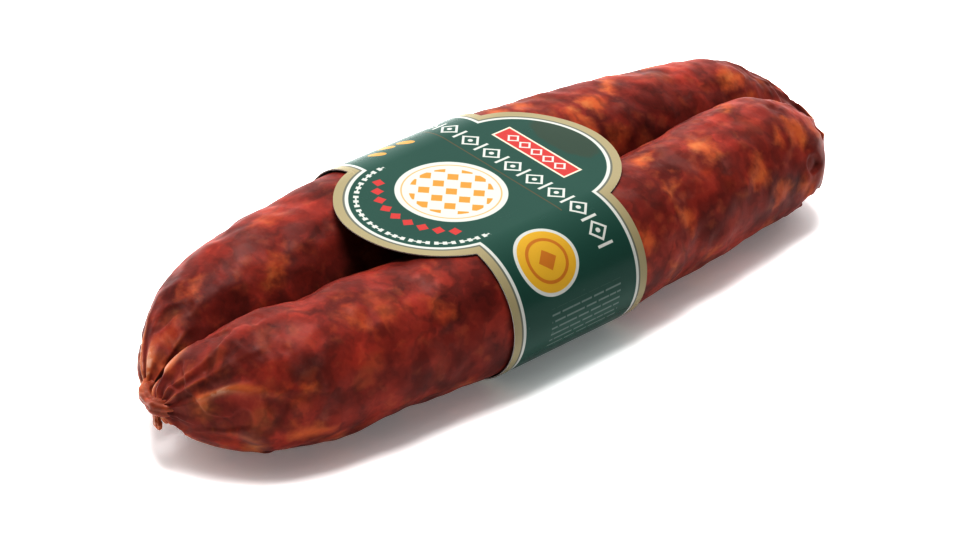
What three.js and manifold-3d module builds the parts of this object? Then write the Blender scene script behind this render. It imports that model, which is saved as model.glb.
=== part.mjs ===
// A pair of cured sausage links, folded side by side from one length of casing,
// and the die-cut paper band that holds them together.
//
// Frame: millimetres, +Z up, +X along the pair, +Y towards the far link.
// The origin is on the surface the pair lies on, below the middle of its bounding box.

import * as THREE from "three";
import Module from "manifold-3d";
import { mergeVertices } from "three/addons/utils/BufferGeometryUtils.js";

const wasm = await Module();
wasm.setup();

// Driving dimensions.
const linkSpacing = 36.8; // between the two links' axes, under the band
const clearance = 0.3; // between two pieces that lie against each other
const bandThickness = 0.4;
const bandWidth = 40.6; // along X, where the band wraps round the links
const bandLapWidth = 12; // where the two ends of the band are glued over each other
const lobeRadius = 22.8; // of the two round lobes on top of the band
const lobeReach = 36; // from the middle of the band to the tip of a lobe
const neckDiameter = 3.6; // of the twisted casing between the links
const twistMiddle = 4.3; // of the two links' left tips, from the pair's middle line along Y
const twistSpan = 3; // between the same two tips, along Y
const neckReach = 0.9; // from the links' tips out to where the twisted casing turns
const tailLength = 4.4; // of the loose end of casing, down from the same turn
const tailDiameter = 2;

// Each link lies along X with the band round its middle. It bows inwards towards both ends,
// and over its last stretch it swings and drops, until the tip lies this far inward in all.
// An end narrows over endLength, and a higher fullness makes it blunter.
const nearLink = {
  side: -1,
  diameter: 32,
  slimming: 0.04, // share of the diameter lost 100 mm away from the band
  left: {
    reach: 91, bow: 8.6, inward: linkSpacing / 2 + twistMiddle - twistSpan / 2, drop: 2.6,
    endLength: 26, fullness: 2, tipDiameter: 3.6,
  },
  right: { reach: 97, bow: 9, inward: 3.9, drop: 3.1, endLength: 30, fullness: 3.1, tipDiameter: 4 },
};
const farLink = {
  side: 1,
  diameter: 34.4,
  slimming: 0.28,
  left: {
    reach: 88.6, bow: 2.2, inward: linkSpacing / 2 - twistMiddle - twistSpan / 2, drop: 1,
    endLength: 45, fullness: 1.9, tipDiameter: 3.6,
  },
  right: { reach: 116, bow: 4.2, inward: 17, drop: 4.8, endLength: 25, fullness: 1.8, tipDiameter: 4 },
};
const swingLength = 32; // of the stretch at each end over which a tip swings and drops
const slimmingLength = 100; // the distance from the band that the slimming is stated for

// How finely the round shapes are divided.
const linkSides = 28;
const linkRings = 44;
const bandArcSteps = 22;
const lobeSides = 72;
const neckSides = 16;
const tangentStep = 0.5; // each way from a point on an axis, to find its direction

// A link's radius before its ends are rounded, x millimetres along from the band's middle.
function bodyRadius(link, x) {
  return (link.diameter / 2) * (1 - link.slimming * (x / slimmingLength) ** 2);
}

// The height of a link's axis. Its underside is level, one band wall and clearance up.
function axisHeight(link, x) {
  return bandThickness + clearance + bodyRadius(link, x);
}

// A point on a link's axis, x millimetres along from the band's middle.
function axisPoint(link, x) {
  const end = x < 0 ? link.left : link.right;
  const distance = Math.abs(x);
  const bend = Math.max(0, 1 - (end.reach - distance) / swingLength) ** 2;
  const inward = end.bow * (distance / end.reach) ** 2 + (end.inward - end.bow) * bend;
  return new THREE.Vector3(
    x,
    link.side * (linkSpacing / 2 - inward),
    axisHeight(link, x) - end.drop * bend,
  );
}

// A link's radius, x millimetres along from the band's middle.
function linkRadius(link, x) {
  const end = x < 0 ? link.left : link.right;
  const distance = Math.abs(x);
  const fromTip = Math.min(1, Math.max(0, (end.reach - distance) / end.endLength));
  const rounding = (1 - (1 - fromTip) ** end.fullness) ** (1 / end.fullness);
  return Math.max(end.tipDiameter / 2, bodyRadius(link, x) * rounding);
}

// A link is turned as a straight body of revolution and then bent along its axis.
// With a growth above zero, it is that much stouter and longer all over.
function linkSolid(link, growth) {
  const length = link.left.reach + link.right.reach;
  const profile = [new THREE.Vector2(0, -link.left.reach - growth)];
  for (let ring = 0; ring <= linkRings; ring += 1) {
    const share = (1 - Math.cos((Math.PI * ring) / linkRings)) / 2;
    const x = length * share - link.left.reach;
    const stretched = x + growth * (2 * share - 1);
    profile.push(new THREE.Vector2(linkRadius(link, x) + growth, stretched));
  }
  profile.push(new THREE.Vector2(0, link.right.reach + growth));
  return solidOf(bendAlongAxis(new THREE.LatheGeometry(profile, linkSides), link));
}

// Moves each point of a body turned about Y to its place about the link's axis.
function bendAlongAxis(geometry, link) {
  const position = geometry.getAttribute("position");
  const up = new THREE.Vector3(0, 0, 1);
  for (let i = 0; i < position.count; i += 1) {
    const x = position.getY(i);
    const before = axisPoint(link, x - tangentStep);
    const tangent = axisPoint(link, x + tangentStep).sub(before).normalize();
    const sideways = up.clone().cross(tangent).normalize();
    const upright = tangent.clone().cross(sideways);
    const point = axisPoint(link, x)
      .addScaledVector(upright, position.getX(i))
      .addScaledVector(sideways, position.getZ(i));
    position.setXYZ(i, point.x, point.y, point.z);
  }
  return geometry;
}

// The band's cross-section in the plane across the links: the tight loop round both circles,
// standing off them by the given distance, as a list of points from the near link's underside.
function loopPoints(offset) {
  const near = { y: -linkSpacing / 2, z: axisHeight(nearLink, 0), r: nearLink.diameter / 2 + offset };
  const far = { y: linkSpacing / 2, z: axisHeight(farLink, 0), r: farLink.diameter / 2 + offset };
  const tilt = Math.atan2(far.z - near.z, far.y - near.y);
  const spread = Math.asin((near.r - far.r) / Math.hypot(far.y - near.y, far.z - near.z));
  const topAngle = tilt + Math.PI / 2 - spread;
  const bottomAngle = tilt - Math.PI / 2 + spread;
  const arc = (circle, from, to) =>
    Array.from({ length: bandArcSteps + 1 }, (_, step) => {
      const angle = from + ((to - from) * step) / bandArcSteps;
      return new THREE.Vector2(
        circle.y + circle.r * Math.cos(angle),
        circle.z + circle.r * Math.sin(angle),
      );
    });
  return [
    ...arc(far, bottomAngle, topAngle),
    ...arc(near, topAngle, bottomAngle + 2 * Math.PI),
  ];
}

// The inside of the loop, stepped in by one wall under the middle, where the band's two ends
// are glued over each other.
function innerLoopWithLap() {
  const loop = loopPoints(clearance);
  const far = loop[0];
  const near = loop[loop.length - 1];
  const middle = near.clone().add(far).multiplyScalar(0.5);
  const along = far.clone().sub(near).normalize();
  const inward = new THREE.Vector2(-along.y, along.x).multiplyScalar(bandThickness);
  const from = middle.clone().addScaledVector(along, -bandLapWidth / 2);
  const to = middle.clone().addScaledVector(along, bandLapWidth / 2);
  return [...loop, from, from.clone().add(inward), to.clone().add(inward), to];
}

// The band's wall as a plain sleeve round both links, as wide along X as given.
function sleeve(width) {
  const section = new THREE.Shape(loopPoints(clearance + bandThickness));
  section.holes.push(new THREE.Path(innerLoopWithLap()));
  const geometry = new THREE.ExtrudeGeometry(section, { depth: width, bevelEnabled: false });
  geometry.translate(0, 0, -width / 2);
  // The section's first axis becomes Y, its second Z, and its depth X.
  return geometry.applyMatrix4(new THREE.Matrix4().set(0, 0, 1, 0, 1, 0, 0, 0, 0, 1, 0, 0, 0, 0, 0, 1));
}

// The upright cutter that leaves one round lobe of the top wall standing.
function lobeCutter(side) {
  const top = axisHeight(farLink, 0) + farLink.diameter;
  const bottom = axisHeight(farLink, 0);
  const geometry = new THREE.CylinderGeometry(lobeRadius, lobeRadius, top - bottom, lobeSides);
  geometry.rotateX(Math.PI / 2);
  return geometry.translate(side * (lobeReach - lobeRadius), 0, (top + bottom) / 2);
}

function bandSolid() {
  const widest = solidOf(sleeve(2 * (lobeReach + bandWidth)));
  const lobes = solidOf(lobeCutter(-1)).add(solidOf(lobeCutter(1)));
  return solidOf(sleeve(bandWidth)).add(widest.intersect(lobes));
}

// The face that a link ends in at the twist: its middle, and the direction that points out of it.
function tipFace(link) {
  const x = -link.left.reach;
  const middle = axisPoint(link, x);
  const outward = middle.clone().sub(axisPoint(link, x + tangentStep)).normalize();
  return { middle, outward };
}

// A straight, round-ended strand from one point to another, of the given diameter at each.
function strand(from, fromDiameter, to, toDiameter) {
  const knob = (point, diameter) =>
    wasm.Manifold.sphere(diameter / 2, neckSides).translate([point.x, point.y, point.z]);
  return wasm.Manifold.hull([knob(from, fromDiameter), knob(to, toDiameter)]);
}

// The twisted casing runs out of one link's tip, round, and into the other's, with a loose end.
function twistSolid() {
  const near = tipFace(nearLink);
  const far = tipFace(farLink);
  const start = near.middle.clone().addScaledVector(near.outward, clearance);
  const end = far.middle.clone().addScaledVector(far.outward, clearance);
  const crown = start.clone().add(end).multiplyScalar(0.5);
  crown.x = Math.min(start.x, end.x) - neckReach;
  const tailEnd = crown.clone();
  tailEnd.z -= tailLength;
  return strand(start, neckDiameter, crown, neckDiameter)
    .add(strand(crown, neckDiameter, end, neckDiameter))
    .add(strand(crown, neckDiameter, tailEnd, tailDiameter));
}

// A closed three.js geometry as a solid that can be joined and cut.
function solidOf(geometry) {
  const bare = geometry.clone();
  bare.deleteAttribute("normal");
  bare.deleteAttribute("uv");
  const merged = mergeVertices(bare, 1e-4);
  return new wasm.Manifold(
    new wasm.Mesh({
      numProp: 3,
      vertProperties: merged.getAttribute("position").array,
      triVerts: new Uint32Array(merged.index.array),
    }),
  );
}

// A joined or cut solid as a three.js geometry.
function geometryOf(solid) {
  const { vertProperties, triVerts, numProp } = solid.getMesh();
  const geometry = new THREE.BufferGeometry();
  const points = new THREE.InterleavedBuffer(new Float32Array(vertProperties), numProp);
  geometry.setAttribute("position", new THREE.InterleavedBufferAttribute(points, 3, 0));
  geometry.setIndex(new THREE.BufferAttribute(new Uint32Array(triVerts), 1));
  geometry.computeVertexNormals();
  return geometry;
}

function piece(name, solid, color, roughness) {
  const material = new THREE.MeshStandardMaterial({ color, roughness, metalness: 0 });
  const mesh = new THREE.Mesh(geometryOf(solid), material);
  mesh.name = name;
  return mesh;
}

// The links were soft when they were laid together, so the far one is pressed in wherever
// the near one lies against it, and the twist gives way to both.
const roomForNear = linkSolid(nearLink, clearance);
const roomForFar = linkSolid(farLink, clearance);

const pair = new THREE.Group();
pair.name = "cured_sausage_pair";
pair.add(
  piece("near_link", linkSolid(nearLink, 0), 0x7c281e, 0.38),
  piece("far_link", linkSolid(farLink, 0).subtract(roomForNear), 0x83291e, 0.38),
  piece("casing_twist", twistSolid().subtract(roomForNear).subtract(roomForFar), 0xa8481f, 0.45),
  piece("label_band", bandSolid(), 0x2b5548, 0.3),
);

// The pair is moved along the surface until its bounding box stands evenly about the origin.
const middle = new THREE.Box3().setFromObject(pair).getCenter(new THREE.Vector3());
pair.position.set(-middle.x, -middle.y, 0);

export default pair;
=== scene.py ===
"""Looks for the cured sausage pair: two marbled links in casing, the twist that joins them,
and the printed paper band that holds them together."""
import math

import bpy
import numpy as np
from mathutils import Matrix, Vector, noise
from mathutils.bvhtree import BVHTree


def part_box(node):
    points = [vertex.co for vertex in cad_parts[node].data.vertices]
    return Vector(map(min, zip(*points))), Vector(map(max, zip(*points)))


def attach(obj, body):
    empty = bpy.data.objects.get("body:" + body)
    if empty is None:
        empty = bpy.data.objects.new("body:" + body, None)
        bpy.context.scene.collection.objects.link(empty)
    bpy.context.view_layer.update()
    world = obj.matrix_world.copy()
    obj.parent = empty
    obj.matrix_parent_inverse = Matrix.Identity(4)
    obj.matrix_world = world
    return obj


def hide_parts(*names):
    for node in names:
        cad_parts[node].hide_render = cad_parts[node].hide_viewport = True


MM = 0.001
BODY = "root"

# Camera, light and floor. Lengths are in metres, angles in degrees.
CAMERA_AZIMUTH = -42.35
CAMERA_ELEVATION = 30.4
CAMERA_DISTANCE = 0.733
CAMERA_LENS_MM = 119.4
CAMERA_AIM = Vector((-9.43, 0.47, 9.38)) * MM
CAMERA_NEAREST = 0.05
EXPOSURE = 0.55
GAMMA = 0.65
KEY_LEVEL = 1.3  # the light on a surface that faces the key light
KEY_AZIMUTH = 165
KEY_ELEVATION = 84
KEY_DISTANCE = 1.3
KEY_SIZE = 0.6
KEY_WATTS = 16.8
FLOOR_SIZE = 6.0
FLOOR_GLOW = 0.16
ROOM_GLOW = 0.13
WALL_GLOW = 1.55
WALL_AZIMUTH = 150
WALL_ELEVATION = 42
WALL_EDGES = (0.1, 0.95)  # cosines of the angles at which the wall's glow starts and is full

# Links: how finely they are divided, and how uneven the casing is.
LINK_SIDES = 168
LINK_RINGS = 430
END_INSET = 0.02 * MM
EASED_RINGS = 7
EASED_SIDES = 6
LEAST_RADIUS = 0.2 * MM
LUMP_HEIGHT = 0.825 * MM
LUMP_SIZE = 11.0 * MM
CHUNK_HEIGHT = 0.39 * MM
CHUNK_SIZE = 4.2 * MM
WRINKLE_HEIGHT = 0.105 * MM
WRINKLE_SIZE = np.array([1.3, 3.2, 3.2]) * MM
WRINKLE_PATCH = 17.0 * MM
DENT_SIZE = 5.5 * MM
CALM_LENGTH = 16.0 * MM  # from a tip, where the lumps fade out
TIP_ROOM = 0.25 * MM  # how far the skin stays inside the CAD at a tip
PRESS_GAP = 0.12 * MM  # between the two links
LEVEL_GAP = 0.35 * MM  # under the links, where the band passes
BAND_SWELL = 0.34 * MM  # how far a link fills the band

# How each link's left and right tips are puckered: how many folds run to the tip, how far
# back they reach, how deep they are, and how deep the dents among them are.
NEAR_TIPS = (
    {"count": 9, "reach": 22 * MM, "height": 1.2 * MM, "dent": 0.5 * MM},
    {"count": 9, "reach": 15 * MM, "height": 1.3 * MM, "dent": 1.3 * MM},
)
FAR_TIPS = (
    {"count": 8, "reach": 20 * MM, "height": 0.7 * MM, "dent": 0.5 * MM},
    {"count": 10, "reach": 20 * MM, "height": 1.3 * MM, "dent": 0.5 * MM},
)
NEAR_SEED = 3.0
FAR_SEED = 8.0

# Band: the sheet's own thickness, its place and its die-cut outline.
SHEET_THICKNESS = 0.28 * MM
OUTSIDE_ROOM = 0.04 * MM
LAP_LENGTH = 12.0 * MM
LAP_GAP = 0.03 * MM
STRIP_HALF = 20.3 * MM
LOBE_RADIUS = 22.8 * MM
LOBE_CENTRE = 13.2 * MM
COLUMNS = 121

# Twist: its ridges, and how the loose end is flattened.
TWIST_SIDES = 40
NECK_STRANDS = 5
NECK_TURNS = 3
# How folded the neck and the tail count as, which sets their orange tint, their gloss and the painted
# glints on the tail.
NECK_FOLDS = 0.42
TAIL_STRANDS = 7
TAIL_TURNS = 0.6
TAIL_FLATNESS = 0.62
TAIL_FOLDS = 0.62


# ---------------------------------------------------------------- shader graphs

class Wire:
    """A socket of a node graph that can be used in arithmetic."""

    def __init__(self, graph, socket):
        self.graph = graph
        self.socket = socket

    def __add__(self, other):
        return self.graph.math("ADD", self, other)

    def __sub__(self, other):
        return self.graph.math("SUBTRACT", self, other)

    def __rsub__(self, other):
        return self.graph.math("SUBTRACT", other, self)

    def __mul__(self, other):
        return self.graph.math("MULTIPLY", self, other)

    def __truediv__(self, other):
        return self.graph.math("DIVIDE", self, other)

    __radd__ = __add__
    __rmul__ = __mul__


class Graph:
    """A material's node graph, with one call for each kind of node used here."""

    def __init__(self, name):
        self.material = bpy.data.materials.new(name)
        self.material.use_nodes = True
        self.tree = self.material.node_tree
        self.shader = self.tree.nodes["Principled BSDF"]

    def put(self, socket, value):
        if isinstance(value, Wire):
            self.tree.links.new(value.socket, socket)
        else:
            socket.default_value = value

    def node(self, kind, inputs=(), **settings):
        made = self.tree.nodes.new(kind)
        for key, value in settings.items():
            setattr(made, key, value)
        for key, value in dict(inputs).items():
            self.put(made.inputs[key], value)
        return made

    def math(self, operation, first, second=0.0, third=0.0):
        made = self.node("ShaderNodeMath", {0: first, 1: second, 2: third}, operation=operation)
        return Wire(self, made.outputs[0])

    def absolute(self, value):
        return self.math("ABSOLUTE", value)

    def larger(self, first, *others):
        for other in others:
            first = self.math("MAXIMUM", first, other)
        return first

    def smaller(self, first, *others):
        for other in others:
            first = self.math("MINIMUM", first, other)
        return first

    def length(self, across, along):
        return self.math("SQRT", across * across + along * along)

    def repeated(self, value, period):
        """The distance from the nearest multiple of the period, with its sign."""
        return self.math("WRAP", value, period / 2, -period / 2)

    def smooth(self, value, low, high):
        """0 below low and 1 above high, or the other way round if high is below low."""
        flip = high < low
        limits = {"Value": value, "From Min": min(low, high), "From Max": max(low, high)}
        limits.update({"To Min": 1.0, "To Max": 0.0} if flip else {"To Min": 0.0, "To Max": 1.0})
        made = self.node("ShaderNodeMapRange", limits, interpolation_type="SMOOTHSTEP")
        return Wire(self, made.outputs[0])

    def inside(self, distance, blur=0.09):
        """1 where a signed distance is below zero, with a slightly soft printed edge."""
        return self.smooth(distance, blur, -blur)

    def mix(self, factor, below, above, blend="MIX"):
        made = self.node("ShaderNodeMix", data_type="RGBA", blend_type=blend)
        self.put(made.inputs[0], factor)
        self.put(made.inputs[6], below)
        self.put(made.inputs[7], above)
        return Wire(self, made.outputs[2])

    def ramp(self, factor, stops):
        made = self.node("ShaderNodeValToRGB", {0: factor})
        ramp = made.color_ramp
        ramp.interpolation = "EASE"
        while len(ramp.elements) < len(stops):
            ramp.elements.new(1.0)
        for element, (place, colour) in zip(ramp.elements, stops):
            element.position = place
            element.color = colour
        return Wire(self, made.outputs[0])

    def place(self):
        """The point on the object, in millimetres."""
        point = self.node("ShaderNodeTexCoord").outputs["Object"]
        return self.scaled(Wire(self, point), 1 / MM)

    def vector(self, operation, *terms):
        made = self.node("ShaderNodeVectorMath", enumerate(terms), operation=operation)
        return Wire(self, made.outputs[0])

    def scaled(self, vector, factor):
        sizes = factor if isinstance(factor, tuple) else (factor,) * 3
        return self.vector("MULTIPLY", vector, sizes)

    def shifted(self, vector, amount, reach):
        """The vector moved about by a colour noise, up to the reach."""
        centred = self.vector("SUBTRACT", amount, (0.5,) * 3)
        return self.vector("MULTIPLY_ADD", centred, (reach * 2,) * 3, vector)

    def noise(self, vector, size, detail=3.0, roughness=0.55, output=0):
        inputs = {"Vector": vector, "Scale": 1 / size, "Detail": detail, "Roughness": roughness}
        return Wire(self, self.node("ShaderNodeTexNoise", inputs).outputs[output])

    def cells(self, vector, size, feature="F1", output="Distance"):
        made = self.node("ShaderNodeTexVoronoi", feature=feature)
        self.put(made.inputs["Vector"], vector)
        self.put(made.inputs["Scale"], 1 / size)
        return Wire(self, made.outputs[output])

    def attribute(self, name, output="Fac"):
        return Wire(self, self.node("ShaderNodeAttribute", attribute_name=name).outputs[output])

    def split(self, vector):
        made = self.node("ShaderNodeSeparateXYZ", {0: vector})
        return [Wire(self, socket) for socket in made.outputs]

    def bump(self, height, distance, strength=1.0):
        inputs = {"Height": height, "Distance": distance, "Strength": strength}
        return Wire(self, self.node("ShaderNodeBump", inputs).outputs[0])

    def finish(self, **values):
        for key, value in values.items():
            self.put(self.shader.inputs[key.replace("_", " ")], value)
        return self.material


def seen(red, green, blue):
    """The surface colour that shows as this display colour, 0 to 255, in the full key light."""
    def surface(value):
        value /= 255
        light = value / 12.92 if value <= 0.04045 else ((value + 0.055) / 1.055) ** 2.4
        return light ** GAMMA / 2 ** EXPOSURE / KEY_LEVEL
    return (surface(red), surface(green), surface(blue), 1.0)


MEAT_TONES = [
    (0.28, seen(76, 17, 12)),
    (0.42, seen(102, 23, 16)),
    (0.52, seen(126, 30, 21)),
    (0.62, seen(148, 38, 26)),
    (0.76, seen(170, 56, 34)),
]
BROAD_TINTS = [
    (0.34, (0.74, 0.68, 0.7, 1)),
    (0.5, (0.95, 0.95, 0.95, 1)),
    (0.66, (1.12, 1.06, 1.03, 1)),
]
FAT_TONES = [
    (0.38, seen(182, 62, 30)),
    (0.55, seen(208, 88, 38)),
    (0.7, seen(226, 120, 56)),
]


# ---------------------------------------------------------------- measuring the frame

def node_mesh(name):
    """A CAD node's points, and its edges as pairs of points."""
    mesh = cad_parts[name].data
    points = np.array([v.co for v in mesh.vertices])
    edges = np.array([e.vertices for e in mesh.edges])
    return points, edges


def section(points, edges, x):
    """The middle and the radius of a link's cross-section at this x."""
    side = points[:, 0] - x
    first, second = side[edges[:, 0]], side[edges[:, 1]]
    crossing = first * second < 0
    share = (first / np.where(crossing, first - second, 1))[crossing, None]
    start, end = points[edges[crossing, 0]], points[edges[crossing, 1]]
    found = start + (end - start) * share
    middle = (found.max(0) + found.min(0)) / 2
    return middle, np.linalg.norm(found - middle, axis=1).max()


def eased(values, reach, wrap=False):
    """The rows of values averaged with those within reach, with a soft window."""
    width = [(reach, reach)] + [(0, 0)] * (values.ndim - 1)
    if wrap:
        padded = np.pad(values, width, mode="wrap")
    else:
        padded = np.pad(values, width, mode="reflect", reflect_type="odd")
    window = np.hanning(2 * reach + 3)[1:-1]
    window /= window.sum()
    return sum(w * padded[i:i + len(values)] for i, w in enumerate(window))


class Spine:
    """A link's axis from its left tip to its right tip, and its smooth surface round it."""

    def __init__(self, node, band_x):
        points, edges = node_mesh(node)
        low, high = points[:, 0].min() + END_INSET, points[:, 0].max() - END_INSET
        share = (1 - np.cos(np.linspace(0, math.pi, LINK_RINGS))) / 2
        self.x = low + (high - low) * share
        sections = [section(points, edges, x) for x in self.x]
        self.axis = eased(np.array([middle for middle, _ in sections]), EASED_RINGS)
        self.axis[:, 0] = self.x
        self.band = section(points, edges, band_x)
        turn = np.linspace(0, 2 * math.pi, LINK_SIDES, endpoint=False)
        self.turn = np.tile(turn, LINK_RINGS)
        outward = np.stack([np.zeros(LINK_SIDES), np.sin(turn), np.cos(turn)], 1)
        radius = self.measured(node, outward)
        self.surface = self.axis[:, None] + outward * radius[:, :, None]
        self.radius = np.repeat(radius.mean(1), LINK_SIDES)

    def measured(self, node, outward):
        """The CAD surface's distance from the axis every way round, with its facets eased."""
        tree = BVHTree.FromObject(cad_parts[node], bpy.context.evaluated_depsgraph_get())
        radius = np.zeros((LINK_RINGS, LINK_SIDES))
        for ring, middle in enumerate(self.axis):
            for side, way in enumerate(outward):
                hit = tree.ray_cast(middle, way)
                radius[ring, side] = hit[3] if hit[0] is not None else 0.0
        radius = eased(radius.T, EASED_SIDES, wrap=True).T
        return np.maximum(eased(radius, EASED_RINGS), LEAST_RADIUS)

    def normals(self):
        """The directions out of the smooth surface."""
        lengthwise = np.gradient(self.surface, axis=0)
        around = np.roll(self.surface, -1, axis=1) - np.roll(self.surface, 1, axis=1)
        normal = np.cross(lengthwise, around)
        normal /= np.linalg.norm(normal, axis=2)[:, :, None] + 1e-12
        return normal.reshape(-1, 3)


# ---------------------------------------------------------------- links

def fade(value, low, high):
    """0 below low, 1 above high, smooth between."""
    share = np.clip((value - low) / (high - low), 0, 1)
    return share * share * (3 - 2 * share)


def noise_at(points):
    return np.array([noise.noise(point) for point in points])


def fold_pattern(angle, along, count, seed):
    """Sharp-crested folds that run towards a tip: 1 on a crest, 0 between, uneven round it."""
    drift = noise_at(np.stack([np.cos(angle), np.sin(angle), along / (14 * MM) + seed], 1))
    phase = angle * count / 2 + 2.4 * drift + seed
    crest = 1 - np.abs(np.sin(phase))
    around = np.stack([np.cos(angle) * 1.7, np.sin(angle) * 1.7, along / (9 * MM) - seed], 1)
    uneven = noise_at(around)
    return crest ** 0.9 * np.clip(0.75 + uneven, 0.15, 1.3)


def casing_relief(spine, points, tips, seed, band_x):
    """How far the casing stands out at each point, how folded it is, and how much painted shade its
    hollows between folds and its dents get.
    """
    lumps = noise_at(points / LUMP_SIZE + seed) * LUMP_HEIGHT
    chunks = noise_at(points / CHUNK_SIZE + 2 * seed) * CHUNK_HEIGHT
    patchy = fade(noise_at(points / WRINKLE_PATCH - seed), -0.1, 0.35)
    wrinkles = noise_at(points / WRINKLE_SIZE + 3 * seed) * WRINKLE_HEIGHT * patchy
    folds, hollow_shade, height = np.zeros((3, len(points)))
    from_left, from_right = points[:, 0] - spine.x[0], spine.x[-1] - points[:, 0]
    for from_tip, tip in ((from_left, tips[0]), (from_right, tips[1])):
        strength = fade(from_tip, tip["reach"], 0.12 * tip["reach"])
        crest = fold_pattern(spine.turn, from_tip, tip["count"], seed + tip["count"]) * strength
        dents = fade(noise_at(points / DENT_SIZE + 5 * seed), 0.12, 0.36)
        dents = dents * fade(from_tip, 1.5 * tip["reach"], 0.6 * tip["reach"])
        room = np.minimum(spine.radius * 0.34, tip["height"])
        height += np.minimum(crest - 0.85 * strength, 0) * room
        height -= dents * np.minimum(spine.radius * 0.2, tip["dent"])
        folds = np.maximum(folds, crest * (1 - dents))
        # Painted shade: a mask for darker colour between the folds and in the dents.
        hollow_shade = np.maximum(hollow_shade, np.maximum(fade(strength - crest, 0.55, 1.0), dents))
    calm = fade(np.minimum(from_left, from_right), 0, CALM_LENGTH)
    relief = (lumps + chunks) * (0.1 + 0.9 * calm) + wrinkles + height - TIP_ROOM * (1 - calm)
    free = fade(np.abs(points[:, 0] - band_x), STRIP_HALF + 1 * MM, STRIP_HALF + 12 * MM)
    return relief * free + BAND_SWELL * (1 - free), folds, hollow_shade


def link_points(spine, tips, seed, band_x):
    """The fine surface of one link, ring by ring, with each point's folds and its painted shade in the
    hollows.
    """
    base = spine.surface.reshape(-1, 3)
    relief, folds, hollow_shade = casing_relief(spine, base, tips, seed, band_x)
    return base + spine.normals() * relief[:, None], folds, hollow_shade


def ring_faces(rings, sides):
    """Quads between neighbouring rings, and a fan at each end."""
    faces = []
    for ring in range(rings - 1):
        for side in range(sides):
            a = ring * sides + side
            b = ring * sides + (side + 1) % sides
            faces.append((a, b, b + sides, a + sides))
    first, last = rings * sides, rings * sides + 1
    top = (rings - 1) * sides
    for side in range(sides):
        after = (side + 1) % sides
        faces.append((first, after, side))
        faces.append((last, top + side, top + after))
    return faces


def new_object(name, points, faces, material):
    mesh = bpy.data.meshes.new(name)
    mesh.from_pydata([tuple(p) for p in points], [], faces)
    mesh.validate()
    mesh.shade_smooth()
    made = bpy.data.objects.new(name, mesh)
    bpy.context.scene.collection.objects.link(made)
    mesh.materials.append(material)
    return made


def add_attribute(made, name, values):
    values = np.asarray(values, np.float32)
    kind, field = ("FLOAT", "value") if values.ndim == 1 else ("FLOAT_VECTOR", "vector")
    attribute = made.data.attributes.new(name, kind, "POINT")
    attribute.data.foreach_set(field, values.ravel())


def with_tip_caps(points):
    """A link's points, and after them the middle points that close its two ends."""
    first = points[:LINK_SIDES].mean(0)
    last = points[-LINK_SIDES:].mean(0)
    return np.vstack([points, first, last])


def pressed_clear(points, spine, other):
    """The points drawn in towards the link's own axis wherever the other link is in the way."""
    tree = BVHTree.FromObject(other, bpy.context.evaluated_depsgraph_get())
    moved = points.copy()
    for index, point in enumerate(points):
        start = spine.axis[index // LINK_SIDES]
        reach = np.linalg.norm(point - start)
        outward = (point - start) / reach
        hit = tree.ray_cast(start, outward, reach + PRESS_GAP)
        if hit[0] is not None:
            moved[index] = start + outward * (hit[3] - PRESS_GAP)
    return moved


def make_link(node, tips, seed, band_x, material, other=None):
    spine = Spine(node, band_x)
    points, folds, hollow_shade = link_points(spine, tips, seed, band_x)
    if other:
        points = pressed_clear(points, spine, other)
    points[:, 2] = np.maximum(points[:, 2], LEVEL_GAP)
    points = with_tip_caps(points)
    made = new_object(node + "_skin", points, ring_faces(LINK_RINGS, LINK_SIDES), material)
    add_attribute(made, "folds", np.append(folds, [1.0, 1.0]))
    # Painted shade for the hollows between folds and for the dents.
    add_attribute(made, "hollow_shade", np.append(hollow_shade, [0.0, 0.0]))
    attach(made, BODY)
    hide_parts(node)
    return made, spine


def soft_spots(graph, place, size, share):
    """Soft-edged blots that fill some of the cells of this size: 1 in the middle of a blot."""
    pick = graph.split(graph.cells(place, size, output="Color"))[0]
    edge = graph.cells(place, size, feature="DISTANCE_TO_EDGE")
    return graph.smooth(pick, 1 - share, 1 - 0.5 * share) * graph.smooth(edge, 0.0, 0.4)


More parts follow.
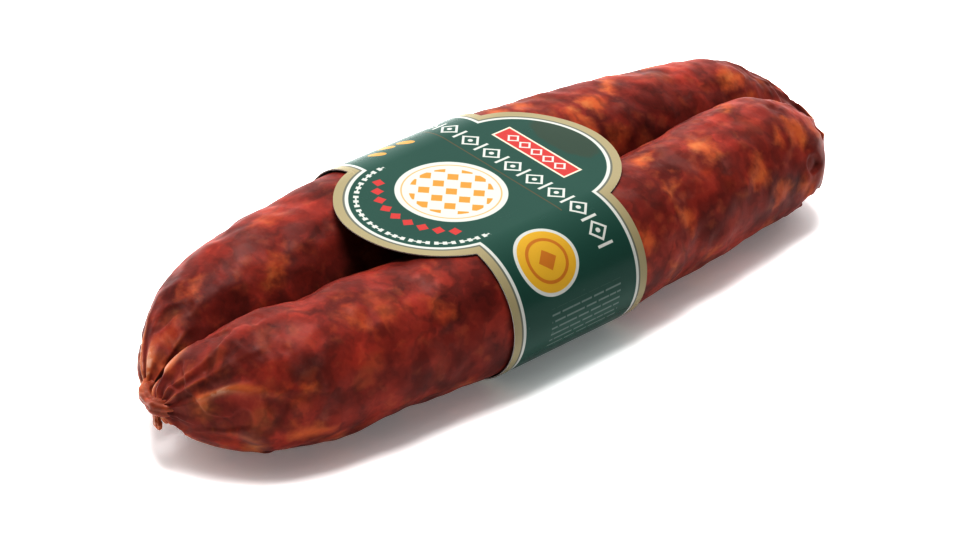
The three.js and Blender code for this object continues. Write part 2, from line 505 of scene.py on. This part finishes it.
def casing_material(name, seed):
    """Coarse red meat and fat seen through a thin, slightly glossy and wrinkled casing, with painted
    sheen patches, painted glints on the fold crests and painted shade in the hollows.
    """
    graph = Graph(name)
    place = graph.vector("ADD", graph.place(), (seed * 31.0, seed * 17.0, seed * 7.0))
    swirl = graph.noise(place, 5.5, detail=3.0, output=1)
    fine_swirl = graph.noise(place, 2.2, detail=3.0, output=1)
    warped = graph.shifted(place, swirl, 4.0)
    mottle = graph.noise(warped, 7.5, detail=3.0, roughness=0.5)
    meat = graph.ramp(mottle, MEAT_TONES)
    broad = graph.noise(place, 24.0, detail=2.0)
    meat = graph.mix(1.0, meat, graph.ramp(broad, BROAD_TINTS), blend="MULTIPLY")
    dark = graph.smooth(graph.noise(graph.shifted(place, swirl, 6.0), 11.0, detail=4.0), 0.5, 0.68)
    colour = graph.mix(dark * 0.45, meat, seen(66, 20, 15))
    bright = graph.smooth(graph.noise(warped, 14.0, detail=3.0), 0.54, 0.68)
    colour = graph.mix(bright * 0.4, colour, seen(168, 48, 34))
    fat_place = graph.shifted(graph.shifted(place, fine_swirl, 1.6), swirl, 2.0)
    fat = soft_spots(graph, fat_place, 8.5, 0.46)
    fat_tone = graph.ramp(graph.noise(place, 7.0), FAT_TONES)
    colour = graph.mix(fat * 0.85, colour, fat_tone)
    crumbs = soft_spots(graph, graph.shifted(place, fine_swirl, 1.2), 3.2, 0.3)
    colour = graph.mix(crumbs * 0.25, colour, seen(196, 84, 44))
    seam = graph.smooth(graph.cells(warped, 10.0, feature="DISTANCE_TO_EDGE"), 0.11, 0.0)
    seam = seam * graph.smooth(graph.noise(place, 13.0), 0.42, 0.6)
    colour = graph.mix(seam * 0.35, colour, seen(58, 15, 11))
    # Painted sheen: pale pinkish-grey patches at random places, standing in for gloss reflections.
    painted_sheen = graph.smooth(graph.noise(place, 11.0, detail=5.0), 0.56, 0.74)
    colour = graph.mix(painted_sheen * 0.3, colour, seen(120, 78, 74))
    fold = graph.attribute("folds")
    colour = graph.mix(graph.smooth(fold, 0.2, 0.85) * 0.8, colour, seen(212, 100, 42))
    # Painted highlight: pale glints on the fold crests.
    pale = graph.smooth(fold, 0.4, 0.8) * graph.smooth(graph.noise(place, 3.5), 0.48, 0.6)
    colour = graph.mix(pale * 0.6, colour, seen(232, 186, 158))
    # Painted shade: darker colour in the hollows between folds and in the dents.
    colour = graph.mix(graph.attribute("hollow_shade") * 0.32, colour, seen(50, 17, 14))
    fine = graph.noise(graph.scaled(place, (1.0, 0.5, 0.5)), 1.3, detail=5.0, roughness=0.6)
    crinkle = graph.noise(graph.scaled(place, (1.0, 0.35, 0.35)), 0.6, detail=2.0)
    normal = graph.bump(fine * 0.75 + crinkle * 0.25, 0.13 * MM, strength=0.5)
    rough = 0.3 + graph.noise(place, 3.4, detail=4.0) * 0.24 + dark * 0.06 - fold * 0.14
    return graph.finish(
        Base_Color=colour, Roughness=rough, Normal=normal,
        Subsurface_Weight=0.12, Subsurface_Scale=1.2 * MM, Subsurface_Radius=(1.0, 0.25, 0.12),
        Specular_IOR_Level=0.1 + 0.75 * fold * fold,
    )


# ---------------------------------------------------------------- twist

def smooth_route(stations, count):
    """A rounded line from the first station to the last, drawn towards those between."""
    share = np.linspace(0, 1, count)[:, None]
    level = [np.asarray(station, float) for station in stations]
    while len(level) > 1:
        level = [a * (1 - share) + b * share for a, b in zip(level, level[1:])]
    return level[0]


def wrung_tube(route, radii, strands, turns, flat=1.0):
    """A tube with ridges that wind round it; flat squeezes it across its level direction."""
    tangent = np.gradient(route, axis=0)
    tangent /= np.linalg.norm(tangent, axis=1)[:, None]
    first = np.cross(tangent, (0.3, 1.0, 0.2))
    first /= np.linalg.norm(first, axis=1)[:, None]
    second = np.cross(first, tangent)
    share = np.linspace(0, 1, len(route))
    radius = np.interp(share, np.linspace(0, 1, len(radii)), radii)
    points = []
    for index, middle in enumerate(route):
        for side in range(TWIST_SIDES):
            angle = 2 * math.pi * side / TWIST_SIDES
            groove = abs(math.sin(strands * angle / 2 + turns * math.pi * share[index]))
            way = Vector((math.cos(angle), math.sin(angle), 5 * share[index]))
            crumple = 0.16 * noise.noise(way * 1.7)
            size = radius[index] * (0.74 + 0.26 * groove ** 0.6 + crumple)
            across = math.cos(angle) * flat * first[index] + math.sin(angle) * second[index]
            points.append(middle + size * across)
    points += [route[0], route[-1]]
    return points, ring_faces(len(route), TWIST_SIDES)


def make_twist(near, far, material):
    """The casing wrung between the two tips, with its loose, crumpled end."""
    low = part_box("casing_twist")[0]
    start, end = near.axis[0], far.axis[0]
    inward = np.array([2.2 * MM, 0, 0])
    crown = (start + end) / 2
    crown[0] = low.x + 0.9 * MM
    outward_step = -0.3 * inward
    stations = [start + inward, start + outward_step, crown, end + outward_step, end + inward]
    neck_radii = np.array([2.1, 1.9, 1.45, 1.9, 2.1]) * MM
    neck, neck_faces = wrung_tube(
        smooth_route(stations, 60), neck_radii, NECK_STRANDS, NECK_TURNS)
    root = crown + np.array([1.7, -0.5, 0.4]) * MM
    hang = np.array([root[0] - 0.6 * MM, root[1] - 1.4 * MM, low.z + 2.2 * MM])
    tail_end = np.array([root[0] - 0.2 * MM, root[1] - 1.9 * MM, low.z + 0.2 * MM])
    tail_radii = np.array([1.1, 1.3, 1.2, 1.6, 1.0]) * MM
    tail, tail_faces = wrung_tube(
        smooth_route([root, hang, tail_end], 34), tail_radii, TAIL_STRANDS, TAIL_TURNS,
        flat=TAIL_FLATNESS)
    shift = len(neck)
    faces = neck_faces + [tuple(corner + shift for corner in face) for face in tail_faces]
    made = new_object("casing_twist_skin", neck + tail, faces, material)
    # The folds value also sets the painted glints on the twist's skin.
    add_attribute(made, "folds", np.repeat([NECK_FOLDS, TAIL_FOLDS], [shift, len(tail)]))
    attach(made, BODY)
    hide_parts("casing_twist")


# ---------------------------------------------------------------- band

class Loop:
    """The closed loop that the band follows round both links, by length from its top middle."""

    def __init__(self, near, far, box):
        (near_middle, near_radius), (far_middle, far_radius) = near.band, far.band
        self.near, self.far = near_middle[1:], far_middle[1:]
        stand_off = self.near[0] - near_radius - box[0].y - OUTSIDE_ROOM
        self.near_radius, self.far_radius = near_radius + stand_off, far_radius + stand_off
        apart = self.far - self.near
        tilt = math.atan2(apart[1], apart[0])
        spread = math.asin((self.near_radius - self.far_radius) / np.linalg.norm(apart))
        self.top_angle = tilt + math.pi / 2 - spread
        self.span = np.linalg.norm(apart) * math.cos(spread)
        self.near_arc = (math.pi + 2 * spread) * self.near_radius
        self.far_arc = (math.pi - 2 * spread) * self.far_radius
        self.length = 2 * self.span + self.near_arc + self.far_arc

    def turned(self, angle):
        return np.array([math.cos(angle), math.sin(angle)])

    def at(self, along):
        """The point on the loop and the direction out of it, along from the top middle."""
        up = self.turned(self.top_angle)
        over = along - self.span / 2
        under = -along - self.span / 2
        if over <= 0 and under <= 0:
            top = (self.near + self.near_radius * up + self.far + self.far_radius * up) / 2
            return top + self.turned(self.top_angle - math.pi / 2) * along, up
        if 0 < over <= self.far_arc:
            out = self.turned(self.top_angle - over / self.far_radius)
            return self.far + self.far_radius * out, out
        if 0 < under <= self.near_arc:
            out = self.turned(self.top_angle + under / self.near_radius)
            return self.near + self.near_radius * out, out
        if over > 0:
            angle = self.top_angle - self.far_arc / self.far_radius
            start = self.far + self.far_radius * self.turned(angle)
            return start + self.turned(angle - math.pi / 2) * (over - self.far_arc), self.turned(angle)
        angle = self.top_angle + self.near_arc / self.near_radius
        start = self.near + self.near_radius * self.turned(angle)
        return start + self.turned(angle + math.pi / 2) * (under - self.near_arc), self.turned(angle)


def band_half_width(along):
    """Half the sheet's width at this length round the band: a strip, and a lobe each way."""
    if abs(along) >= LOBE_RADIUS:
        return STRIP_HALF
    return max(STRIP_HALF, LOBE_CENTRE + math.sqrt(LOBE_RADIUS ** 2 - along ** 2))


def band_rows(loop):
    """Where the sheet's rows run, closer together beside the lobes' notches."""
    end = (loop.length + LAP_LENGTH) / 2
    notch = math.sqrt(LOBE_RADIUS ** 2 - (STRIP_HALF - LOBE_CENTRE) ** 2)
    fine = np.arange(-LOBE_RADIUS, LOBE_RADIUS + 0.1 * MM, 0.2 * MM)
    coarse = np.arange(LOBE_RADIUS + 0.5 * MM, end, 0.5 * MM)
    rows = np.concatenate([-coarse[::-1], [-notch], fine, [notch], coarse, [-end, end]])
    return np.unique(np.round(rows, 7))


def sheet_point(loop, across, along, depth):
    """A point of the sheet, depth below its printed face."""
    (y, z), out = loop.at(along)
    half = loop.length / 2
    tucked = fade(-along, half - LAP_LENGTH / 2 - 1.5 * MM, half - LAP_LENGTH / 2)
    overhang = max(0.0, abs(across) - STRIP_HALF)
    droop = 0.0022 / MM * overhang ** 2 * fade(along, -4 * MM, 16 * MM)
    ripple = 0.09 * MM * noise.noise(Vector((across / (16 * MM), along / (19 * MM), 4.0)))
    sunk = depth + tucked * (SHEET_THICKNESS + LAP_GAP) + droop - min(0.0, ripple)
    return (across, y - out[0] * sunk, z - out[1] * sunk)


def make_band(near, far, band_x, printed, plain):
    """The die-cut sheet: printed face, plain back, and the cut edge between them."""
    loop = Loop(near, far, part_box("label_band"))
    rows = band_rows(loop)
    columns = np.linspace(-1, 1, COLUMNS)
    points, print_places = [], []
    for depth in (0.0, SHEET_THICKNESS):
        for along in rows:
            for column in columns:
                across = column * band_half_width(along)
                x, y, z = sheet_point(loop, across, along, depth)
                points.append((x + band_x, y, z))
                print_places.append((across / MM, along / MM, 0.0))
    wide, high = len(columns), len(rows)
    back = wide * high
    faces = []
    for row in range(high - 1):
        for column in range(wide - 1):
            a = row * wide + column
            faces.append((a, a + 1, a + 1 + wide, a + wide))
            faces.append((a + back, a + wide + back, a + 1 + wide + back, a + 1 + back))
    face_kinds = [0, 1] * (len(faces) // 2)
    rim = list(range(wide)) + [r * wide + wide - 1 for r in range(1, high)]
    rim += [(high - 1) * wide + c for c in range(wide - 2, -1, -1)]
    rim += [r * wide for r in range(high - 2, 0, -1)]
    for a, b in zip(rim, rim[1:] + rim[:1]):
        faces.append((b, a, a + back, b + back))
        face_kinds.append(1)
    made = new_object("label_band_sheet", points, faces, printed)
    made.data.materials.append(plain)
    made.data.polygons.foreach_set("material_index", face_kinds)
    made.data.set_sharp_from_angle(angle=math.radians(40))  # keeps the cut edge crisp
    add_attribute(made, "print_place", print_places)
    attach(made, BODY)
    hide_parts("label_band")


class Print:
    """Flat printed shapes, as signed distances in millimetres over the unrolled band."""

    def __init__(self, graph):
        self.graph = graph
        self.u, self.v, _ = graph.split(graph.attribute("print_place", output="Vector"))

    def circle(self, u, v, radius):
        return self.graph.length(self.u - u, self.v - v) - radius

    def box(self, u, v, half_u, half_v):
        across = self.graph.absolute(self.u - u) - half_u
        along = self.graph.absolute(self.v - v) - half_v
        return self.graph.larger(across, along)

    def outline(self, inset):
        """The die-cut outline, this far in from its edge."""
        strip = self.graph.absolute(self.u) - (STRIP_HALF / MM - inset)
        mirrored = self.graph.length(self.graph.absolute(self.u) - LOBE_CENTRE / MM, self.v)
        return self.graph.smaller(strip, mirrored - (LOBE_RADIUS / MM - inset))

    def angle_length(self, u, v, radius):
        """Length round a circle of this radius, from the direction of -u."""
        turn = self.graph.math("ARCTAN2", self.v - v, u - self.u)
        return turn * radius

    def lozenge(self, across, along, half):
        return self.graph.absolute(across) + self.graph.absolute(along) - half


GREEN = seen(24, 64, 52)
DEEP_GREEN = seen(18, 54, 44)
CREAM = seen(206, 206, 198)
KHAKI = seen(156, 142, 102)
ORANGE = seen(206, 136, 46)
GOLD = seen(216, 162, 36)
RED = seen(188, 44, 40)


def border_print(graph, art, colour):
    """The khaki edge with its fine pale line, which follows the die-cut outline."""
    edge = art.outline(0.0)
    colour = graph.mix(graph.inside(-1 * (edge + 2.15)), colour, KHAKI)
    grey = graph.inside(graph.absolute(edge + 2.35) - 0.2)
    colour = graph.mix(grey, colour, seen(96, 96, 84))
    line = graph.inside(graph.absolute(edge + 3.0) - 0.42)
    return graph.mix(line, colour, CREAM)


def emblem_print(graph, art, colour):
    """A cream disc with a fine ring round a field of small orange lozenges."""
    u, v = -7.9, 0.5
    disc = art.circle(u, v, 12.8)
    colour = graph.mix(graph.inside(disc), colour, CREAM)
    colour = graph.mix(graph.inside(graph.absolute(disc + 1.5) - 0.16), colour, seen(206, 160, 96))
    period = 4.4
    across, along = graph.repeated(art.u - u, period), graph.repeated(art.v - v, period)
    marks = graph.larger(art.lozenge(across, along, 1.75), art.circle(u, v, 9.6))
    return graph.mix(graph.inside(marks), colour, ORANGE)


def ornament_row(graph, art, colour):
    """A row of cream lozenges and bars along the band, beside a fine line."""
    centre = 10.4
    offset = art.u - centre
    large = graph.absolute(art.lozenge(offset, graph.repeated(art.v, 7.2), 2.35)) - 0.42
    dot = graph.length(offset, graph.repeated(art.v, 7.2)) - 0.62
    bar = graph.larger(
        graph.absolute(graph.repeated(art.v + 3.6, 7.2)) - 0.36,
        graph.absolute(offset) - 2.2,
    )
    row = graph.smaller(large, dot, bar)
    row = graph.larger(row, graph.absolute(art.v) - 33.0)
    colour = graph.mix(graph.inside(row), colour, CREAM)
    line = graph.larger(graph.absolute(art.u - 6.3) - 0.16, graph.absolute(art.v - 3.5) - 24.0)
    return graph.mix(graph.inside(line), colour, seen(74, 62, 40))


def plate_print(graph, art, colour):
    """A red plate with a cream edge and a row of cream lozenges."""
    u, v = 18.9, 1.2
    plate = art.box(u, v, 2.9, 12.2)
    colour = graph.mix(graph.inside(plate), colour, seen(238, 214, 190))
    colour = graph.mix(graph.inside(plate + 0.55), colour, RED)
    step = graph.repeated(art.v - v, 3.9)
    marks = art.lozenge(art.u - u, step, 1.5)
    ring = graph.absolute(marks) - 0.36
    ring = graph.larger(ring, art.box(u, v, 2.2, 9.9))
    return graph.mix(graph.inside(ring), colour, CREAM)


def arc_print(graph, art, colour):
    """An arc of red lozenges beside the emblem, and a dotted line in the lobe's rim."""
    u, v, radius = -7.9, 0.5, 16.6
    around = art.angle_length(u, v, radius)
    from_arc = graph.absolute(art.circle(u, v, radius))
    marks = art.lozenge(from_arc, graph.repeated(around, 3.7), 1.55)
    marks = graph.larger(marks, graph.absolute(around) - 16.6)
    colour = graph.mix(graph.inside(marks), colour, RED)
    rim_radius = LOBE_RADIUS / MM - 5.1
    centre_u = -LOBE_CENTRE / MM
    rim_length = art.angle_length(centre_u, 0.0, rim_radius)
    from_rim = graph.absolute(art.circle(centre_u, 0.0, rim_radius))
    dash = graph.larger(from_rim - 0.62, graph.absolute(graph.repeated(rim_length, 1.9)) - 0.5)
    thread = graph.absolute(graph.repeated(rim_length, 5.7)) - 2.0
    dash = graph.smaller(dash, graph.larger(from_rim - 0.2, thread))
    dash = graph.larger(dash, graph.absolute(rim_length) - 28.0, art.u + 6.0)
    return graph.mix(graph.inside(dash), colour, CREAM)


def seal_print(graph, art, colour):
    """A plain golden disc with a pale rim, a darker ring and a lozenge in its middle."""
    u, v = -5.9, -30.1
    disc = art.circle(u, v, 8.3)
    colour = graph.mix(graph.inside(disc), colour, CREAM)
    colour = graph.mix(graph.inside(disc + 0.85), colour, GOLD)
    ring = graph.absolute(disc + 3.2) - 0.4
    marks = graph.smaller(ring, art.lozenge(art.u - u, art.v - v, 2.6))
    return graph.mix(graph.inside(marks), colour, seen(188, 104, 26))


def small_lines_print(graph, art, colour):
    """Rows of fine broken rules low on the near side, and a cream panel on the far side."""
    row = graph.absolute(graph.repeated(art.v + 0.4, 1.75)) - 0.24
    number = graph.math("ROUND", (art.v + 0.4) / 1.75)
    slow = graph.math("SINE", art.u * 1.9 + number * 2.3)
    broken = slow + graph.math("SINE", art.u * 3.3 + number * 5.1)
    rules = graph.larger(row, 0.75 * broken - 0.95, art.box(1.5, -46.5, 10.5, 5.6))
    colour = graph.mix(graph.inside(rules) * 0.55, colour, seen(130, 148, 140))
    panel = art.box(0.0, 44.0, 15.0, 13.0)
    colour = graph.mix(graph.inside(panel), colour, CREAM)
    frame_line = graph.absolute(panel + 1.0) - 0.15
    colour = graph.mix(graph.inside(frame_line), colour, KHAKI)
    row = graph.absolute(graph.repeated(art.u, 2.6)) - 0.3
    rules = graph.larger(row, art.box(0.0, 46.5, 12.0, 8.6))
    return graph.mix(graph.inside(rules) * 0.8, colour, seen(110, 120, 112))


def sprig_print(graph, art, colour):
    """Small orange leaves in a row near the far shoulder."""
    for u, v in ((-9.5, 24.3), (-5.2, 26.2), (-0.9, 24.3)):
        across = (art.u - u) * 0.8 + (art.v - v) * 0.6
        along = (art.v - v) * 0.8 - (art.u - u) * 0.6
        leaf = graph.length(across * 1.9, along) - 2.3
        colour = graph.mix(graph.inside(leaf), colour, ORANGE)
    return colour


def printed_material():
    graph = Graph("printed_paper")
    art = Print(graph)
    shade = graph.noise(graph.place(), 34.0, detail=1.0)
    colour = graph.mix(shade, GREEN, DEEP_GREEN)
    ghost = graph.length((art.u - 28.5) * 2.2, art.v - 2.0) - 10.5
    ghost = graph.smooth(ghost + graph.noise(graph.place(), 3.0) * 3.0, 2.6, 0.2)
    colour = graph.mix(ghost * 0.5, colour, seen(44, 46, 30))
    for layer in (arc_print, sprig_print, ornament_row, plate_print, emblem_print, seal_print,
                  small_lines_print, border_print):
        colour = layer(graph, art, colour)
    fibre = graph.noise(graph.place(), 0.7, detail=3.0)
    normal = graph.bump(fibre, 0.02 * MM, strength=0.35)
    rough = 0.22 + graph.noise(graph.place(), 6.0, detail=3.0) * 0.08
    return graph.finish(
        Base_Color=colour, Roughness=rough, Normal=normal, Specular_IOR_Level=0.12)


def plain_paper_material():
    graph = Graph("paper_core")
    fibre = graph.noise(graph.scaled(graph.place(), (1.0, 0.35, 1.0)), 0.5, detail=5.0)
    colour = graph.ramp(fibre, [(0.3, seen(214, 210, 198)), (0.7, seen(238, 236, 228))])
    return graph.finish(Base_Color=colour, Roughness=0.75, Normal=graph.bump(fibre, 0.03 * MM))


# ---------------------------------------------------------------- stage

def direction(azimuth, elevation):
    """The way back from the object to a viewer at this azimuth and elevation, in degrees."""
    a, e = math.radians(azimuth), math.radians(elevation)
    return Vector((math.sin(a) * math.cos(e), -math.cos(a) * math.cos(e), math.sin(e)))


def aim(made, place, target):
    made.location = place
    made.rotation_mode = "QUATERNION"
    made.rotation_quaternion = (place - target).to_track_quat("Z", "Y")


def make_camera():
    data = bpy.data.cameras.new("camera")
    data.lens = CAMERA_LENS_MM
    data.clip_start = CAMERA_NEAREST
    made = bpy.data.objects.new("camera", data)
    bpy.context.scene.collection.objects.link(made)
    back = direction(CAMERA_AZIMUTH, CAMERA_ELEVATION) * CAMERA_DISTANCE
    aim(made, CAMERA_AIM + back, CAMERA_AIM)
    bpy.context.scene.camera = made


def make_key_light():
    """A soft square light almost overhead."""
    data = bpy.data.lights.new("key", "AREA")
    data.size = KEY_SIZE
    data.energy = KEY_WATTS
    made = bpy.data.objects.new("key", data)
    bpy.context.scene.collection.objects.link(made)
    aim(made, direction(KEY_AZIMUTH, KEY_ELEVATION) * KEY_DISTANCE, Vector((0, 0, 0)))


def make_world():
    """A room with a bright wall behind the object and dim surroundings in front of it."""
    world = bpy.data.worlds.new("room")
    bpy.context.scene.world = world
    world.use_nodes = True
    tree = world.node_tree
    sky = tree.nodes.new("ShaderNodeTexCoord")
    facing = tree.nodes.new("ShaderNodeVectorMath")
    facing.operation = "DOT_PRODUCT"
    facing.inputs[1].default_value = direction(WALL_AZIMUTH, WALL_ELEVATION)
    glow = tree.nodes.new("ShaderNodeMapRange")
    glow.interpolation_type = "SMOOTHSTEP"
    keys = ("From Min", "From Max", "To Min", "To Max")
    for key, value in zip(keys, WALL_EDGES + (ROOM_GLOW, WALL_GLOW)):
        glow.inputs[key].default_value = value
    tree.links.new(sky.outputs["Generated"], facing.inputs[0])
    tree.links.new(facing.outputs["Value"], glow.inputs["Value"])
    background = tree.nodes["Background"]
    background.inputs["Color"].default_value = (1, 1, 1, 1)
    tree.links.new(glow.outputs[0], background.inputs["Strength"])


def make_floor():
    half = FLOOR_SIZE / 2
    corners = [(-half, -half, 0), (half, -half, 0), (half, half, 0), (-half, half, 0)]
    graph = Graph("floor")
    grain = graph.noise(graph.place(), 400.0, detail=1.0)
    colour = graph.ramp(grain, [(0.3, (0.92, 0.92, 0.92, 1)), (0.7, (0.94, 0.94, 0.94, 1))])
    material = graph.finish(
        Base_Color=colour, Roughness=0.9, Emission_Color=(1, 1, 1, 1), Emission_Strength=FLOOR_GLOW)
    floor = new_object("floor", corners, [(0, 1, 2, 3)], material)


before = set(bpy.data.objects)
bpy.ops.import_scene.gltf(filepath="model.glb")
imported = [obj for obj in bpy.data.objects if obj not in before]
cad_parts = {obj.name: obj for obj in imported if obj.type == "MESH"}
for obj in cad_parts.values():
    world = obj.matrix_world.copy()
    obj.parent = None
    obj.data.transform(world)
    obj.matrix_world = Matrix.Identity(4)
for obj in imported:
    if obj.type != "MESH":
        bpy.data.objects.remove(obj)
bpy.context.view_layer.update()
view = bpy.context.scene.view_settings
view.view_transform = "Standard"
view.exposure = EXPOSURE
view.gamma = GAMMA

band_low, band_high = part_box("label_band")
band_x = (band_low.x + band_high.x) / 2

make_camera()
make_world()
make_key_light()
make_floor()

near_skin, near_spine = make_link(
    "near_link", NEAR_TIPS, NEAR_SEED, band_x, casing_material("near_casing", 1.0))
_, far_spine = make_link(
    "far_link", FAR_TIPS, FAR_SEED, band_x, casing_material("far_casing", 2.0), other=near_skin)
make_twist(near_spine, far_spine, casing_material("twist_casing", 3.0))
make_band(near_spine, far_spine, band_x, printed_material(), plain_paper_material())
